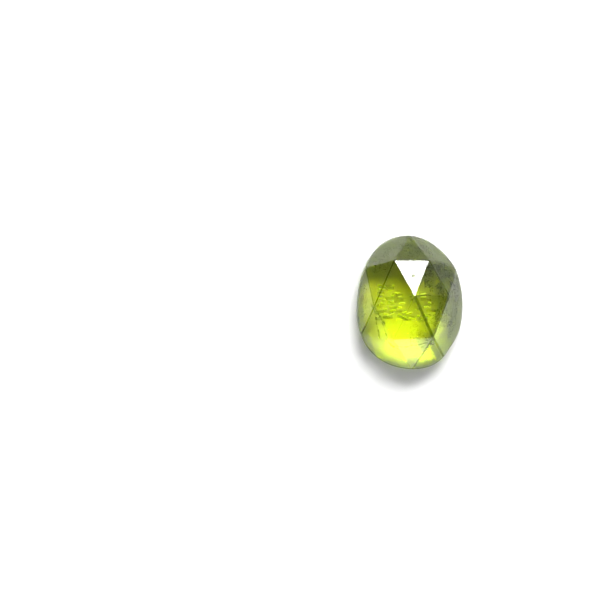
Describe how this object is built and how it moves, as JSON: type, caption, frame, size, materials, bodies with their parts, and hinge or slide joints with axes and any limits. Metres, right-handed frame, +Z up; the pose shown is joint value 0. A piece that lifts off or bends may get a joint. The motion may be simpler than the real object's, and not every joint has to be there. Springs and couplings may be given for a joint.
{
  "type": "rose-cut peridot gemstone",
  "caption": "Loose oval rose-cut gemstone in clear yellow-green crystal, with a flat base and a dome of flat triangular facets.",
  "frame": {"origin": "on the flat base, under the middle of the outline", "axes": "+Z up from the flat base to the peak; +Y along the stone, towards its narrower end; +X across it"},
  "size_m": [0.008, 0.01, 0.0042],
  "materials": {
    "peridot": "polished clear yellow-green crystal with faint streaks and fine dark lines inside"
  },
  "bodies": {
    "root": {"stone": "peridot"}
  },
  "joints": []
}
